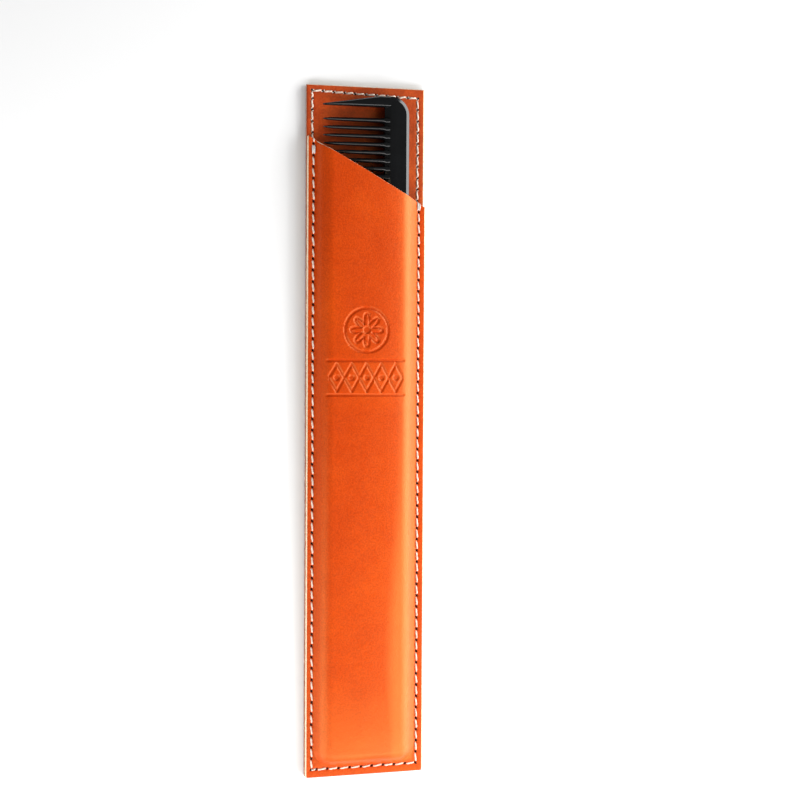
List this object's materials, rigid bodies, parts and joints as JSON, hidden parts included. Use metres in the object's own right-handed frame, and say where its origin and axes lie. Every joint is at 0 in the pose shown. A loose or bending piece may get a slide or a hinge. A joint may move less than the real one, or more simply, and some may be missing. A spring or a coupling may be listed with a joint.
{
  "type": "beard comb",
  "caption": "Slim dark comb with a toothed edge and a chamfered spine, in a stitched flat leather sheath with a slanting mouth that it slides out of.",
  "frame": {"origin": "under the middle of the sheath, in the plane of its flat back", "axes": "+Y along the length towards the mouth, +X across the width to the right as seen from the front, +Z out of the front"},
  "size_m": [0.035, 0.1986, 0.007],
  "materials": {
    "leather": "smooth orange-tan grain with a soft sheen and pale raw edges",
    "comb": "near-black satin polish",
    "thread": "waxed cream twisted thread"
  },
  "bodies": {
    "sheath": {"back_panel": "leather", "front_panel": "leather", "top_thread": "thread", "pocket_thread": "thread", "back_thread": "thread", "left_mouth_tack": "thread", "right_mouth_tack": "thread"},
    "comb": {"comb": "comb"}
  },
  "joints": [
    {"name": "comb_slide", "type": "slide", "parent": "sheath", "child": "comb", "axis": [0, 1, 0], "range_m": [0, 0.2]}
  ]
}
